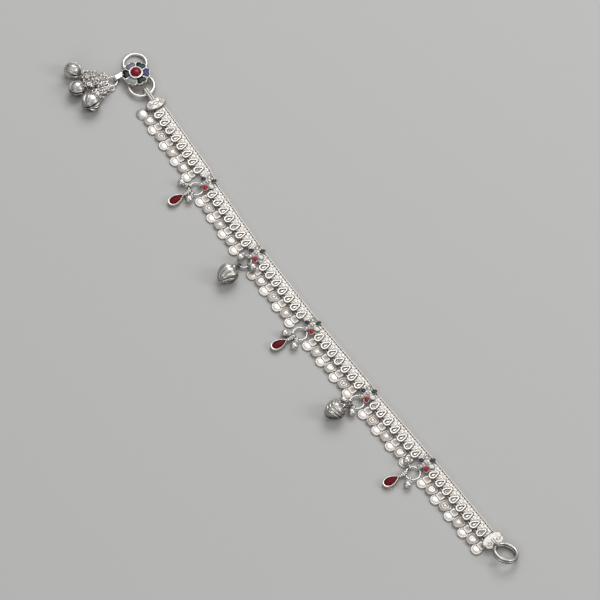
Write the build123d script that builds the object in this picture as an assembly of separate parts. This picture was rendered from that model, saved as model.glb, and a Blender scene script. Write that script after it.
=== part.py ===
from build123d import *
from collections import namedtuple
import math
import os

# Payal anklet, lying open and straight on a flat surface. Millimetres, +Z up, the surface at z = 0.
# The band runs along X: the plain edge faces +Y, the leaf drops and the pendants face -Y.

# ---- Band -------------------------------------------------------------------------------------
link_pitch = 4.24
link_gap = 0.16
band_width = 6.5
band_thick = 1.3
rail_width = 0.42
rail_height = 0.4
undercut_start = 4.2          # the underside is cut back beyond this, to clear the fringe's thread
undercut_height = 0.9
boss_width = 3.1
boss_height = 0.5
boss_margin = 0.2             # between the boss's foot and the link's
boss_tip = (0.3, -1.95, 0.25) # the boss narrows to this disc near the rail: x, y, radius
corner_radius = 0.01
hinge_size = 0.6
hinge_rows = (1.2, 3.3)       # two hinge wires, this far in from the plain edge

# ---- Fringe -----------------------------------------------------------------------------------
thread_radius = 0.3
thread_row = 5.0
thread_height = 0.34
coin_radius = 1.98
coin_row = 9.55
coin_thick = 0.7
coin_link = (2.6, 1.4, 0.82)
shield_row = 8.0
shield_width = 4.3
shield_thick = 0.65
shield_height = 0.62          # the shields lie over the edges of the coins
shield_corner = 1.3
shield_tip = (0, -9.75, 1.05) # the disc that a shield narrows to: x, y, radius
neck_size = (1.2, 0.6)

# ---- Station flower ---------------------------------------------------------------------------
station_gap = 0.22            # between the flower link and the band on each side
flower_drop = 3.3             # from the plain edge down to the flower's centre
bridge_depth = 4.4
petal_turns = {"green": 80, "pale": 20, "red": -40, "bud": -100, "blue": -160, "swirl": 140}
set_petals = ("green", "pale", "red", "blue")
petal_reach = 4.1
petal_root = 0.5
petal_radius = 1.25
petal_low = 1.85              # the petals lie over the bosses of the links on each side
petal_high = 2.5
petal_rim = 0.35
stone_depth = 0.4
stone_proud = 0.15
stone_play = 0.06
hub_radius = 1.9
crown_radius = 1.2
centre_ball = 0.62

# ---- Jump rings and drops ---------------------------------------------------------------------
station_ring_radius = 2.75
station_wire = 0.25
ring_height = 1.0             # the station rings lie this high, carried by the loops round them
loop_radius = 0.72
loop_wire = 0.23
bead_radius = 1.55
pear_width = 5.2
pear_length = 7.4
pear_neck = 2.7
pear_wall = 0.45
pear_high = 2.0
pear_floor = 0.6
pear_girdle = 1.0
pear_crown = 0.6
pear_crown_taper = 38
heart_radius = 3.8
heart_length = 7.6
heart_reach = 3.2
heart_girth = 0.36            # the widest place, as a share of the length from the shoulder
heart_tip = 0.5
heart_shoulder = 0.9

# ---- Clasp ------------------------------------------------------------------------------------
clasp_wire = 0.63
free_ring = (-127.6, 0.65, 4.55)      # x, y and wire-centre radius of the ring that hooks
inner_ring = (-117.1, -3.0, 4.95)     # the ring that the hook cap's bail holds
clasp_lean = 3.1                      # degrees: the inner ring lies on the bail's lower strap
clasp_flower = (-122.0, -2.25)
lobe_radius = 1.5
lobe_row = 4.0
lobe_side = 0.9
bezel_radius = 2.75
bezel_wall = 0.7
bezel_high = 3.0
cabochon_high = 4.1
flower_low = 0.8              # the flower's plate clears the hook's free end, which lies under it
flower_high = 2.1
flower_floor = 1.5
flower_wall = 0.4
flower_plate = 4.2            # the radius of the plate under the six cells
free_end = 14                 # the free ring's wire starts here and ends at the flower's hub
far_end = 330
clasp_hub = 2.2
glass_play = 0.15
tab_wide = 1.8
tab_tube = (1.1, 0.68, 0.3)   # outer radius, bore radius and height of the tab's tube
tab_reach = (0.4, 3.4)        # the tab's block starts and ends this far from the tube's middle
clasp_petal_turns = (60, 0, -58, -118, 180, 121)
jump_ring = (-125.4, -11.4, 2.05, 0.33)
jump_ring_height = 1.25

# ---- End caps and end ring --------------------------------------------------------------------
cap_high = 2.5
cap_edge = 0.7
hook_cap_size = (4.7, 8.2)
hook_cap_place = (-106.8, -3.05, -4)
ring_cap_size = (4.8, 8.9)
ring_cap_place = (122.8, -3.2, 4)
cap_foot_start = 1.9          # from the cap's middle, away from the band
cap_foot_rows = (-1.0, 3.2)   # the foot's edges, from the cap's middle
cap_play = 0.25               # between a cap's foot and the band
bail_near = (-113.6, 1.86, 1.8)       # the bail seen from its side: two discs, x, z and radius
bail_far = (-108.9, 1.35, 1.3)
bail_width = 1.9
bail_thick = 0.8
eye_reach = 0.05              # the eye's middle lies this far outside the end ring's wire centre
eye_half = 0.42
eye_radius = 1.25
eye_thick = 0.5
eye_width = 1.3
end_ring_place = (130.5, -2.4)
end_ring_radius = 4.3
end_wire = 0.56
end_turn_step = 0.5           # half the distance between the ring's two turns
end_ring_tilt = 24
end_ring_heading = 106        # the side that leans down points this way

# Each run of the band: links, the middle of its plain edge, its heading, and its extra drops.
Run = namedtuple("Run", "links x y turn first_drop last_drop")
runs = (
    Run(8, -87.1, -1.00, -2.0, -1, 7),
    Run(7, -47.1, -3.75, -2.6, 0, 6),
    Run(7, -9.1, -4.45, 0.3, 0, 6),
    Run(7, 28.2, -3.70, 2.3, 0, 6),
    Run(7, 64.3, -2.70, 2.9, 0, 6),
    Run(8, 103.0, -1.00, 1.8, 0, 8),
)

# Each station: how far its flower sits from the middle of its link, where its ring lies from the
# flower, its pendant, where on the ring that hangs and which way it lies, and its two beads.
Station = namedtuple("Station", "along ring_x ring_y pendant pendant_from pendant_turn beads")
# A bead: where on the ring its loop is, which way it lies, how far, and how high above the surface.
Bead = namedtuple("Bead", "ring_turn turn reach lift")
stations = (
    Station(1.0, -0.2, -5.15, "pear", -98, -87,
            (Bead(-149, -146, 3.5, 0.1), Bead(-62, -62, 2.9, 0))),
    Station(-0.3, 0.1, -5.6, "heart", -80, -72,
            (Bead(11, 11, 2.0, 0.95), Bead(150, -66, 2.3, 1.4))),
    Station(0.3, 0.25, -5.75, "pear", -94, -92,
            (Bead(-124, -124, 2.9, 0), Bead(-55, -55, 3.2, 0))),
    Station(0.0, 0.6, -5.4, "heart", -92, -94,
            (Bead(-133, -131, 2.3, 0), Bead(-56, -56, 2.2, 0))),
    Station(0.0, 0.6, -6.5, "pear", -125, -91,
            (Bead(172, 172, 2.4, 0.95), Bead(-56, -56, 2.7, 0))),
)

# Each bell: centre, radius, the direction in which its loop points, the slit's turn about its axis,
# and the bends of its strand from the clasp's jump ring.
Bell = namedtuple("Bell", "x y radius heading slit ring_turn bends")
bells = (
    Bell(-137.3, -22.1, 3.2, 38, 20, 214, ((-130.6, -16.0, 1.5),)),
    Bell(-129.1, -25.2, 3.2, 108, 70, 244, ((-127.6, -17.6, 1.5),)),
    Bell(-120.4, -24.0, 3.7, 122, -35, 282, ((-123.7, -17.3, 1.5),)),
)
bell_wall = 0.4
bell_slit = 0.7
bell_droop = 18               # the loop's end of each bell hangs down by this angle
strand_radius = 0.42
cluster = (1.15, 1.6)         # radius and height of the drum at each bend of a strand
first_loop_radius = 0.85


# ---- Shapes -----------------------------------------------------------------------------------
def block(x_low, x_high, y_low, y_high, z_low, z_high):
    size = (x_high - x_low, y_high - y_low, z_high - z_low)
    middle = ((x_low + x_high) / 2, (y_low + y_high) / 2, (z_low + z_high) / 2)
    return Pos(*middle) * Box(*size)


def hull_plate(discs, z_low, z_high):
    """A plate whose outline is pulled tight round the discs (x, y, radius)."""
    edges = ShapeList()
    for x, y, radius in discs:
        edges += (Pos(x, y) * Circle(radius)).edges()
    return Pos(0, 0, z_low) * extrude(make_hull(edges), z_high - z_low)


def strap(near, far, thick, width):
    """A closed strap round two upright discs (x, z, radius): a bail seen from its side along Y."""
    outer = hull_plate((near, far), -width / 2, width / 2)
    inner_discs = [(x, z, radius - thick) for x, z, radius in (near, far)]
    inner = hull_plate(inner_discs, -width, width)
    return Rot(90, 0, 0) * (outer - inner)


def tapered(radius_low, radius_high, length):
    return Cone(radius_low, radius_high, length, align=(Align.CENTER, Align.CENTER, Align.MIN))


def drum(radius, length):
    return Cylinder(radius, length, align=(Align.CENTER, Align.CENTER, Align.MIN))


def rod_between(start, end, radius):
    """A round rod from start to end."""
    line = Vector(*end) - Vector(*start)
    return Plane(origin=start, z_dir=line) * drum(radius, line.length)


def polar(radius, turn):
    return radius * math.cos(math.radians(turn)), radius * math.sin(math.radians(turn))


def upright_ring(radius, wire):
    """A wire ring that stands on edge in the XZ plane."""
    return Rot(90, 0, 0) * Torus(radius, wire)


# ---- Band and fringe --------------------------------------------------------------------------
def link_x(run, number):
    return (number - (run.links - 1) / 2) * link_pitch


def run_place(run):
    return Pos(run.x, run.y, 0) * Rot(0, 0, run.turn)


def run_end(run, side):
    """The corner of a run's plain edge, at its first (-1) or last (+1) link."""
    reach = side * (run.links * link_pitch - link_gap) / 2
    step_x, step_y = polar(reach, run.turn)
    return run.x + step_x, run.y + step_y


def band_link():
    half = (link_pitch - link_gap) / 2
    end_row = -(band_width - half)
    side = half - corner_radius
    corners = ((-side, -corner_radius, corner_radius), (side, -corner_radius, corner_radius))
    outline = corners + ((0, end_row, half),)
    plate = hull_plate(outline, undercut_height, band_thick)
    plate += block(-half, half, -undercut_start, 0, 0, undercut_height + 0.1)
    rail = block(-half, half, -rail_width, 0, band_thick - 0.1, band_thick + rail_height)
    boss_radius = boss_width / 2
    boss_row = -(band_width - boss_margin - boss_radius)
    boss_outline = ((0, boss_row, boss_radius), boss_tip)
    boss = hull_plate(boss_outline, band_thick - 0.1, band_thick + boss_height)
    return plate + rail + boss


def band_run(run):
    link = band_link()
    pieces = [Pos(link_x(run, number), 0, 0) * link for number in range(run.links)]
    first = link_x(run, 0)
    last = link_x(run, run.links - 1)
    for row in hinge_rows:
        low = undercut_height / 2 - hinge_size / 2
        half = hinge_size / 2
        pieces.append(block(first, last, -row - half, -row + half, low, low + hinge_size))
    return run_place(run) * (Part() + pieces)


def coin_drop():
    coin = Pos(0, -coin_row, coin_thick / 2) * Cylinder(coin_radius, coin_thick)
    wide, deep, high = coin_link
    top_row = -(coin_row - coin_radius) + 0.2
    link = block(-wide / 2, wide / 2, top_row - deep / 2, top_row + deep / 2, 0, high)
    return coin + link + drop_neck(-coin_row)


def shield_drop():
    side = shield_width / 2 - shield_corner
    corners = ((-side, -shield_row, shield_corner), (side, -shield_row, shield_corner))
    outline = corners + (shield_tip,)
    plate = hull_plate(outline, shield_height, shield_height + shield_thick)
    return plate + drop_neck(-shield_row)


def drop_neck(end_row):
    wide, high = neck_size
    return block(-wide / 2, wide / 2, end_row, -thread_row, 0.05, 0.05 + high)


def leaf_fringe(run):
    coin = coin_drop()
    shield = shield_drop()
    shields_even = run.links == 8 and run.first_drop < 0
    pieces = []
    for number in range(run.first_drop, run.last_drop + 1):
        is_shield = (number % 2 == 0) == shields_even and number >= 0
        drop = shield if is_shield else coin
        pieces.append(Pos(link_x(run, number), 0, 0) * drop)
    start = (link_x(run, run.first_drop), -thread_row, thread_height)
    end = (link_x(run, run.last_drop), -thread_row, thread_height)
    pieces.append(rod_between(start, end, thread_radius))
    return run_place(run) * (Part() + pieces)


# ---- Stations ---------------------------------------------------------------------------------
def station_frame(number):
    """The middle of the gap between two runs, on the plain edge: x, y, heading and gap."""
    left_x, left_y = run_end(runs[number], 1)
    right_x, right_y = run_end(runs[number + 1], -1)
    turn = math.degrees(math.atan2(right_y - left_y, right_x - left_x))
    gap = math.hypot(right_x - left_x, right_y - left_y)
    return (left_x + right_x) / 2, (left_y + right_y) / 2, turn


def flower_centre(number):
    x, y, turn = station_frame(number)
    drop_x, drop_y = polar(flower_drop, turn - 90)
    along_x, along_y = polar(stations[number].along, turn)
    return x + drop_x + along_x, y + drop_y + along_y, turn


def bridge(number, depth, z_low, z_high):
    """The flower link's plate, whose ends are parallel to the runs on each side."""
    corners = []
    for side, run in ((1, runs[number]), (-1, runs[number + 1])):
        end_x, end_y = run_end(run, side)
        gap_x, gap_y = polar(side * station_gap, run.turn)
        down_x, down_y = polar(depth, run.turn - 90)
        edge = [(end_x + gap_x, end_y + gap_y), (end_x + gap_x + down_x, end_y + gap_y + down_y)]
        corners += edge if side == 1 else edge[::-1]
    plate = make_face(Polyline(*corners, close=True))
    return Pos(0, 0, z_low) * extrude(plate, z_high - z_low)


def petal_discs(inset):
    tip = petal_reach - petal_radius
    return ((tip, 0, petal_radius - inset), (petal_root + 0.75, 0, 0.5 - inset / 2))


def flower_link(number):
    centre_x, centre_y, turn = flower_centre(number)
    link = bridge(number, bridge_depth, 0, band_thick)
    link += bridge(number, rail_width, band_thick - 0.1, band_thick + rail_height)
    petals = drum(hub_radius, petal_low + 0.2) + drum(crown_radius, petal_high)
    for colour, petal_turn in petal_turns.items():
        petal = hull_plate(petal_discs(0), petal_low, petal_high)
        if colour in set_petals:
            petal -= hull_plate(petal_discs(petal_rim), petal_high - stone_depth, petal_high + 1)
        petals += Rot(0, 0, petal_turn) * petal
    petals += Pos(0, 0, petal_high) * Sphere(centre_ball)
    eye_x, eye_y = station_ring_centre(number)
    eye_y += station_ring_radius
    eye = Pos(eye_x, eye_y, ring_height) * Rot(0, 0, 90) * upright_ring(loop_radius, loop_wire)
    stem_start = (centre_x, centre_y, ring_height)
    stem_end = (eye_x, eye_y + loop_radius, ring_height)
    stem = rod_between(stem_start, stem_end, loop_wire + 0.05)
    return link + Pos(centre_x, centre_y, 0) * Rot(0, 0, turn) * petals + eye + stem


def station_stones(number):
    centre_x, centre_y, turn = flower_centre(number)
    discs = petal_discs(petal_rim + stone_play)
    low = petal_high - stone_depth + stone_play
    stones = []
    for colour in set_petals:
        stone = hull_plate(discs, low, petal_high + stone_proud)
        stones.append(Pos(centre_x, centre_y, 0) * Rot(0, 0, turn + petal_turns[colour]) * stone)
    return Compound(children=stones)


def station_ring_centre(number):
    centre_x, centre_y = flower_centre(number)[:2]
    return centre_x + stations[number].ring_x, centre_y + stations[number].ring_y


def station_ring(number):
    x, y = station_ring_centre(number)
    return Pos(x, y, ring_height) * Torus(station_ring_radius, station_wire)


def on_station_ring(number, ring_turn, turn):
    """A drop's place: on the ring's wire in one direction, lying along another."""
    x, y = station_ring_centre(number)
    step_x, step_y = polar(station_ring_radius, ring_turn)
    return Pos(x + step_x, y + step_y, 0) * Rot(0, 0, turn)


# ---- Drops: each lies along +X from its loop ---------------------------------------------------
def bead_drop(bead):
    """A small round bead with a cup and the loop that holds the ring's wire."""
    bead_z = bead_radius + bead.lift
    rise = bead_z - ring_height
    line = Plane(origin=(0, 0, ring_height), z_dir=(bead.reach, 0, rise))
    length = math.hypot(bead.reach, rise)
    ball = line * Pos(0, 0, length) * Sphere(bead_radius)
    stem = line * Pos(0, 0, loop_radius) * tapered(0.35, 0.6, length - loop_radius)
    cup = line * Pos(0, 0, length - bead_radius - 0.25) * tapered(0.5, 1.05, 0.8)
    loop = Pos(0, 0, ring_height) * upright_ring(loop_radius, loop_wire)
    return loop + stem + cup + ball


def pear_face(inset):
    """A drop outline: half a circle at the foot, two arcs that meet at the top."""
    radius = pear_width / 2 - inset
    centre = pear_neck + pear_length - pear_width / 2
    top = pear_neck + inset * 1.6
    side_x = centre - (centre - top) * 0.52
    side_y = radius * 0.74
    foot = CenterArc((centre, 0), radius, -90, 180)
    left = ThreePointArc((centre, radius), (side_x, side_y), (top, 0))
    right = ThreePointArc((top, 0), (side_x, -side_y), (centre, -radius))
    return make_face(foot.edges() + left.edges() + right.edges())


def pear_setting():
    """Bezel with a collared neck and a bail round the ring's wire."""
    bezel = extrude(pear_face(0), pear_high)
    bezel -= Pos(0, 0, pear_floor) * extrude(pear_face(pear_wall), pear_high)
    neck = Pos(loop_radius, 0, ring_height) * Rot(0, 90, 0) * drum(0.5, pear_neck)
    for row in range(3):
        collar_x = loop_radius + 0.5 + row * 0.62
        collar = Pos(collar_x, 0, ring_height) * Rot(0, 90, 0) * Cylinder(0.85 - row * 0.05, 0.42)
        neck += collar
    loop = Pos(0, 0, ring_height) * upright_ring(loop_radius, loop_wire)
    return bezel + neck + loop


def pear_stone():
    """A faceted stone: a straight girdle under a sloping crown."""
    base = pear_floor + stone_play
    girdle = Pos(0, 0, base) * extrude(pear_face(pear_wall + stone_play), pear_girdle)
    crown_face = pear_face(pear_wall + 0.3)
    crown = Pos(0, 0, base + pear_girdle - 0.01) * extrude(crown_face, pear_crown,
                                                         taper=pear_crown_taper)
    return girdle + crown


def heart_body(wall):
    """The turned form of a heart bell, along +X from its shoulder, less its wall."""
    radius = heart_radius - wall
    length = heart_length - 2 * wall
    girth = length * heart_girth
    widest = (girth, radius)
    top = (0, heart_shoulder)
    tip = (length - 0.2, heart_tip)
    shoulder = Line((0, 0), top).edges()
    shoulder += ThreePointArc(top, (girth * 0.3, radius * 0.8), widest).edges()
    flank_x = girth + (length - girth) * 0.6
    flank = ThreePointArc(widest, (flank_x, radius * 0.68), tip).edges()
    foot = Polyline(tip, (length, 0), (0, 0)).edges()
    return Pos(wall, 0, 0) * revolve(make_face(shoulder + flank + foot), Axis.X)


def heart_bell():
    """A hollow strawberry-shaped bell with a slit mouth, a neck and a bail."""
    body = heart_body(0) - heart_body(bell_wall)
    slit = block(heart_length * 0.45, heart_length + 1, -bell_slit / 2, bell_slit / 2, -9, 9)
    body = Pos(heart_reach + 0.5, 0, heart_radius) * (body - slit)
    neck = Pos(heart_reach - 0.2, 0, heart_radius) * Rot(0, 90, 0) * drum(0.65, 1.0)
    bail = strap((0, ring_height + 0.12, 0.95), (heart_reach - 0.4, heart_radius - 0.3, 0.75),
                 0.42, 0.7)
    return body + (bail + neck)


# ---- Clasp ------------------------------------------------------------------------------------
def clasp_place():
    """The S-hook leans about its far edge, so that its inner ring clears the bail's lower strap."""
    low_edge = free_ring[0] - free_ring[2]
    return Pos(low_edge, 0, clasp_wire + 0.02) * Rot(0, -clasp_lean, 0) * Pos(-low_edge, 0, 0)


def clasp_petal_discs(side, inset):
    return ((lobe_row, side * lobe_side, lobe_radius - inset), (2.6, side * 0.5, 0.75 - inset / 2))


def clasp_petal(inset, z_low, z_high):
    """One petal of two lobes."""
    one = hull_plate(clasp_petal_discs(1, inset), z_low, z_high)
    other = hull_plate(clasp_petal_discs(-1, inset), z_low, z_high)
    return one + other


def s_hook():
    """Two wire rings, the flower plate with its cells and bezel, and the tab, all soldered."""
    x, y, radius = free_ring
    start = Pos(x, y, 0) * Rot(0, 0, free_end)
    hook = start * Torus(radius, clasp_wire, major_angle=far_end - free_end)
    x, y, radius = inner_ring
    hook += Pos(x, y, 0) * Torus(radius, clasp_wire)
    plate = Pos(0, 0, flower_low) * drum(flower_plate, flower_floor - flower_low)
    plate += Pos(0, 0, flower_low) * drum(bezel_radius, bezel_high - flower_low)
    plate += Pos(0, 0, -0.3) * drum(clasp_hub, flower_low + 0.5)
    for turn in clasp_petal_turns:
        petal = clasp_petal(0, flower_low, flower_high)
        petal -= clasp_petal(flower_wall, flower_floor, bezel_high)
        plate += Rot(0, 0, turn) * (petal - Cylinder(bezel_radius - 0.1, 9))
    plate -= Pos(0, 0, bezel_high - 0.6) * drum(bezel_radius - bezel_wall, 2)
    hook += Pos(*clasp_flower, 0) * plate
    tab_x = jump_ring[0]
    tab_row = jump_ring[1] + jump_ring[2]
    outer, bore, height = tab_tube
    tube = Rot(0, 90, 0) * (Cylinder(outer, tab_wide) - Cylinder(bore, tab_wide + 1))
    hook += Pos(tab_x, tab_row, height) * tube
    half = tab_wide / 2
    tab_low, tab_high = tab_reach
    hook += block(tab_x - half, tab_x + half, tab_row + tab_low, tab_row + tab_high, flower_low,
                  height + outer)
    return clasp_place() * hook


def clasp_cabochon():
    """A domed round stone."""
    radius = bezel_radius - bezel_wall - stone_play
    base = bezel_high - 0.6 + stone_play
    rise = cabochon_high - base - 0.3
    ball = (radius ** 2 + rise ** 2) / (2 * rise)
    dome = Pos(0, 0, base + 0.3 + rise - ball) * Sphere(ball)
    dome &= Pos(0, 0, base) * drum(radius, 3)
    return clasp_place() * Pos(*clasp_flower, 0) * dome


def clasp_petal_glass():
    """The inlays of the six petals."""
    inlays = []
    for turn in clasp_petal_turns:
        inset = flower_wall + glass_play
        inlay = clasp_petal(inset, flower_floor + stone_play, flower_high - 0.1)
        inlay -= Cylinder(bezel_radius + stone_play, 9)
        inlays.append(clasp_place() * Pos(*clasp_flower, 0) * Rot(0, 0, turn) * inlay)
    return Compound(children=inlays)


def clasp_ring():
    x, y, radius, wire = jump_ring
    return Pos(x, y, jump_ring_height) * Torus(radius, wire)


def bell_axis(bell):
    """The direction from a bell's centre to its loop."""
    flat_x, flat_y = polar(math.cos(math.radians(bell_droop)), bell.heading)
    return Vector(flat_x, flat_y, -math.sin(math.radians(bell_droop)))


def bell_loop_centre(bell):
    return Vector(bell.x, bell.y, bell.radius) + bell_axis(bell) * (bell.radius + loop_radius)


def bell_stand(bell):
    """The plane of a bell: its Z points to the loop, its Y across the slit."""
    upright = Plane(origin=(bell.x, bell.y, bell.radius), z_dir=bell_axis(bell))
    return Plane(upright * Rot(0, 0, bell.slit))


def ghungroo(bell):
    """A round hollow bell with two ribs beside its slit and a loop on top."""
    body = Sphere(bell.radius) - Sphere(bell.radius - bell_wall)
    slit = block(-bell.radius - 1, bell.radius + 1, -bell_slit / 2, bell_slit / 2,
                 -bell.radius - 1, -bell.radius * 0.15)
    body -= slit
    body += Pos(0, 0, bell.radius - 0.35) * tapered(0.9, 0.5, 0.6)
    body += Pos(0, 0, bell.radius + loop_radius) * upright_ring(loop_radius, loop_wire)
    return bell_stand(bell) * body


def bell_strand(bell):
    """A fine chain as rods along its route, with a loop at each end and a drum at its bend."""
    x, y, radius = jump_ring[:3]
    out = Vector(*polar(1, bell.ring_turn), 0)
    start = Vector(x, y, jump_ring_height) + out * radius
    first_loop = Pos(*start) * Rot(0, 0, bell.ring_turn) * upright_ring(first_loop_radius, loop_wire)
    loop_plane = end_loop_plane(bell)
    points = [start + out * first_loop_radius] + [Vector(*bend) for bend in bell.bends]
    away = points[-1] - loop_plane.origin
    in_plane = away - loop_plane.z_dir * away.dot(loop_plane.z_dir)
    points.append(loop_plane.origin + in_plane.normalized() * loop_radius)
    strand = first_loop
    for from_point, to_point in zip(points, points[1:]):
        strand += rod_between(from_point, to_point, strand_radius)
    strand += loop_plane * Torus(loop_radius, loop_wire)
    for bend in points[1:-1]:
        strand += Pos(*bend) * Cylinder(*cluster)
    return strand


def end_loop_plane(bell):
    """The plane of the strand's last loop, which passes through the bell's own loop."""
    stand = bell_stand(bell)
    centre = bell_loop_centre(bell) + bell_axis(bell) * loop_radius
    return Plane(origin=centre, x_dir=stand.z_dir, z_dir=stand.z_dir.cross(stand.y_dir))


# ---- End caps and end ring --------------------------------------------------------------------
def cap_body(size, place, base_low, base_high):
    """A domed oval cap, cut back below to clear the fringe, on a foot that reaches the surface."""
    x, y, turn = place
    wide, tall = size
    dome = Pos(0, 0, undercut_height) * extrude(Ellipse(wide / 2, tall / 2),
                                                cap_high - undercut_height)
    top_edges = dome.faces().sort_by(Axis.Z)[-1].edges()
    dome = fillet(top_edges, cap_edge)
    cap = Pos(x, y, 0) * Rot(0, 0, turn) * dome
    low_row, high_row = cap_foot_rows
    return cap + block(base_low, base_high, y + low_row, y + high_row, 0, undercut_height + 0.2)


def hook_cap():
    """The cap at the hook's end and its strap bail."""
    x, y = hook_cap_place[:2]
    band_start = run_end(runs[0], -1)[0]
    cap = cap_body(hook_cap_size, hook_cap_place, x - cap_foot_start, band_start - cap_play)
    return cap + Pos(0, y, 0) * strap(bail_near, bail_far, bail_thick, bail_width)


def end_ring_plane():
    lean_x, lean_y = polar(math.sin(math.radians(end_ring_tilt)), end_ring_heading)
    upward = math.cos(math.radians(end_ring_tilt))
    lift = end_ring_radius * math.sin(math.radians(end_ring_tilt)) + end_turn_step * upward
    flat_x, flat_y = polar(1, end_ring_heading - 90)
    return Plane(origin=(*end_ring_place, lift + end_wire + 0.02), x_dir=(flat_x, flat_y, 0),
                 z_dir=(lean_x, lean_y, upward))


def end_ring():
    """Two turns of wire side by side, leaning on the cap's eye."""
    turns = Pos(0, 0, -end_turn_step) * Torus(end_ring_radius, end_wire)
    turns += Pos(0, 0, end_turn_step) * Torus(end_ring_radius, end_wire)
    return end_ring_plane() * turns


def ring_cap():
    """The cap at the ring's end and the eye that holds the double ring."""
    x = ring_cap_place[0]
    band_end = run_end(runs[-1], 1)[0]
    cap = cap_body(ring_cap_size, ring_cap_place, band_end + cap_play, x + cap_foot_start)
    eye_x = -end_ring_radius - eye_reach
    eye = strap((eye_x, -eye_half, eye_radius), (eye_x, eye_half, eye_radius), eye_thick, eye_width)
    return cap + end_ring_plane() * eye


# ---- Assembly ---------------------------------------------------------------------------------
nodes = {}
nodes["s_hook"] = s_hook()
nodes["clasp_cabochon"] = clasp_cabochon()
nodes["clasp_petal_glass"] = clasp_petal_glass()
nodes["clasp_ring"] = clasp_ring()
nodes["hook_cap"] = hook_cap()
nodes["ring_cap"] = ring_cap()
nodes["end_ring"] = end_ring()
for number, bell in enumerate(bells, 1):
    nodes[f"bell_{number}"] = ghungroo(bell)
    nodes[f"bell_strand_{number}"] = bell_strand(bell)
for number, run in enumerate(runs, 1):
    nodes[f"band_run_{number}"] = band_run(run)
    nodes[f"leaf_fringe_{number}"] = leaf_fringe(run)

pears = 0
hearts = 0
beads = 0
for number, station in enumerate(stations):
    nodes[f"flower_{number + 1}"] = flower_link(number)
    nodes[f"station_stones_{number + 1}"] = station_stones(number)
    nodes[f"station_ring_{number + 1}"] = station_ring(number)
    place = on_station_ring(number, station.pendant_from, station.pendant_turn)
    if station.pendant == "pear":
        pears += 1
        nodes[f"pear_setting_{pears}"] = place * pear_setting()
        nodes[f"pear_stone_{pears}"] = place * pear_stone()
    else:
        hearts += 1
        nodes[f"heart_bell_{hearts}"] = place * heart_bell()
    for bead in station.beads:
        beads += 1
        place = on_station_ring(number, bead.ring_turn, bead.turn)
        nodes[f"bead_drop_{beads}"] = place * bead_drop(bead)

# The origin is under the middle of the whole anklet.
boxes = [shape.bounding_box() for shape in nodes.values()]
middle_x = (min(box.min.X for box in boxes) + max(box.max.X for box in boxes)) / 2
middle_y = (min(box.min.Y for box in boxes) + max(box.max.Y for box in boxes)) / 2
os.makedirs("parts", exist_ok=True)
for name, shape in nodes.items():
    export_step(Pos(-middle_x, -middle_y, 0) * shape, f"parts/{name}.step")
print("moved by", -middle_x, -middle_y, "lowest", min(box.min.Z for box in boxes))
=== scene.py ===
import bpy
import math
import numpy as np
from mathutils import Matrix, Vector


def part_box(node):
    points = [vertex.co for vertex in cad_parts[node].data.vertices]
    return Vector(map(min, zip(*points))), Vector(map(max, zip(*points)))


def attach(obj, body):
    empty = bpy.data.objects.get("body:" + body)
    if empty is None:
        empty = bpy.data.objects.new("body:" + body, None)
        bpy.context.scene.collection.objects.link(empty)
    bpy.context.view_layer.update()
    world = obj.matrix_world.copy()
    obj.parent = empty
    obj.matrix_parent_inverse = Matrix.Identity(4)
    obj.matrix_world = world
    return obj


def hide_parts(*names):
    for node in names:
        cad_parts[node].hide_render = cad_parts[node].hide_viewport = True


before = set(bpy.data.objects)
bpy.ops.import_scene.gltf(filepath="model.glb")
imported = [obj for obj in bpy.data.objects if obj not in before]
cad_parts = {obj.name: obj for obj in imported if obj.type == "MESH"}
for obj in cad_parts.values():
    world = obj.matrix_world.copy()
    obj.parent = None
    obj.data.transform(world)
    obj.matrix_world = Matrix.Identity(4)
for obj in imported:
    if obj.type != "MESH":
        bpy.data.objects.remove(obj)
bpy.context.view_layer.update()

# Payal anklet: shapes are worked out in millimetres and written in metres.
MM = 0.001

# Band link, from its plain edge (y = 0) down to its scalloped foot.
LINK_PITCH = 4.24
LINK_HALF = 2.1
LINK_GRID = (74, 46)
PLATE_TOP = 1.3
RAIL_TOP = 1.7
UNDERCUT = (4.2, 0.9)
RIM = ((0.0, -4.6), 1.22, (0.3, -2.62), 0.42)
RIM_HALF = 0.38
CORE = ((0.03, -4.5), 0.5, (0.2, -3.25), 0.24)
CORE_HALF = 0.22
RAIL_ROW = 0.22
RAIL_HALF = 0.25
DASH_ROW = 0.6
DASH_HALF = (0.24, 0.13)
HINGE_ROWS = (1.2, 3.3)

# Leaf drops: how far below the plain edge each kind lies, and the thread that carries them.
COIN_RADIUS = 2.2
COIN_ROW = 9.43
SHIELD_ROW = 8.05
STRAP_ROW = 7.2
THREAD_ROW = 5.0
THREAD_HIGH = 0.34
THREAD_RADIUS = 0.3

# Jump rings to the middle of their wire, drops and caps.
STATION_RING = 2.75
CLASP_RING = 2.05
LOOP_REACH = 0.95
LOOP_HIGH = 1.0
BEAD_RADIUS = 1.55
HEART_RADIUS = 3.8
HEART_LENGTH = 7.6
CAP_HIGH = 2.5

# What hangs at each station.
STATIONS = 5
PEAR_STATIONS = (1, 3, 5)
HEART_STATIONS = (2, 4)
BELLS = 3


# ---- Mesh makers: each gives points, faces and how dark each point is (patina and painted shade) ----
def ridge(distance, half):
    """A rounded ridge's height, from 0 at its feet to 1 on its line."""
    return np.sqrt(np.clip(1 - (distance / half) ** 2, 0, 1))


def smooth(value, low, high):
    """0 below low, 1 above high, and a smooth step between."""
    t = np.clip((value - low) / (high - low), 0, 1)
    return t * t * (3 - 2 * t)


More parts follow.
